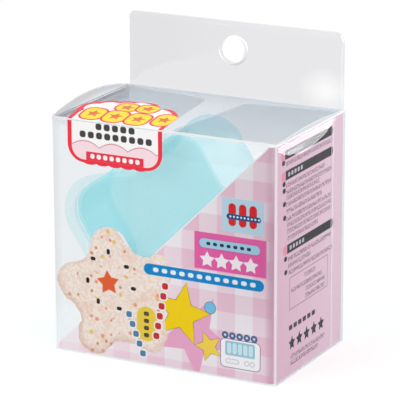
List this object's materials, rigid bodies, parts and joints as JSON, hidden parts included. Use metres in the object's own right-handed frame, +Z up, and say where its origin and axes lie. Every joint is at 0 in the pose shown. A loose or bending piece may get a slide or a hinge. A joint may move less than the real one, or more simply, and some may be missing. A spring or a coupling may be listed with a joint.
{
  "type": "sushi rice mold press",
  "caption": "Star-shaped rice mold press, a cup with a press lid, standing in a clear folded carton with a hang header, a printed card insert and a seal label.",
  "frame": {"origin": "middle of the carton's footprint, on the surface that it stands on", "axes": "+Z up, +X to the right as seen from the printed front, +Y from the front to the back"},
  "size_m": [0.11, 0.0701, 0.1425],
  "materials": {
    "clear_film": "clear, glossy",
    "printed_card": "coated, satin",
    "label_paper": "satin",
    "mold_plastic": "translucent, satin gloss"
  },
  "bodies": {
    "carton": {"clear_sleeve": "clear_film", "hang_header": "clear_film", "bottom_panel": "clear_film", "bottom_tuck": "clear_film", "bottom_flap_left": "clear_film", "bottom_flap_right": "clear_film", "printed_insert": "printed_card", "seal_label_front": "label_paper", "rice_cup": "mold_plastic"},
    "lid": {"top_lid": "clear_film", "tuck_flap": "clear_film", "seal_label_top": "label_paper"},
    "dust_left": {"dust_flap_left": "clear_film"},
    "dust_right": {"dust_flap_right": "clear_film"},
    "press": {"press_lid": "mold_plastic"}
  },
  "joints": [
    {"name": "lid_open", "type": "hinge", "parent": "carton", "child": "lid", "pos_m": [0, 0.0328, 0.1078], "axis": [-1, 0, 0], "range_deg": [0, 65]},
    {"name": "dust_left_fold", "type": "hinge", "parent": "carton", "child": "dust_left", "pos_m": [-0.0543, 0, 0.1071], "axis": [0, -1, 0], "range_deg": [0, 10]},
    {"name": "dust_right_fold", "type": "hinge", "parent": "carton", "child": "dust_right", "pos_m": [0.0543, 0, 0.1071], "axis": [0, 1, 0], "range_deg": [0, 10]},
    {"name": "press_lid_slide", "type": "slide", "parent": "carton", "child": "press", "axis": [0, -1, 0], "range_m": [0, 0.0045]}
  ],
  "couplings": [
    {"joint": "dust_left_fold", "follows": "lid_open", "ratio": 0.15},
    {"joint": "dust_right_fold", "follows": "lid_open", "ratio": 0.15}
  ]
}
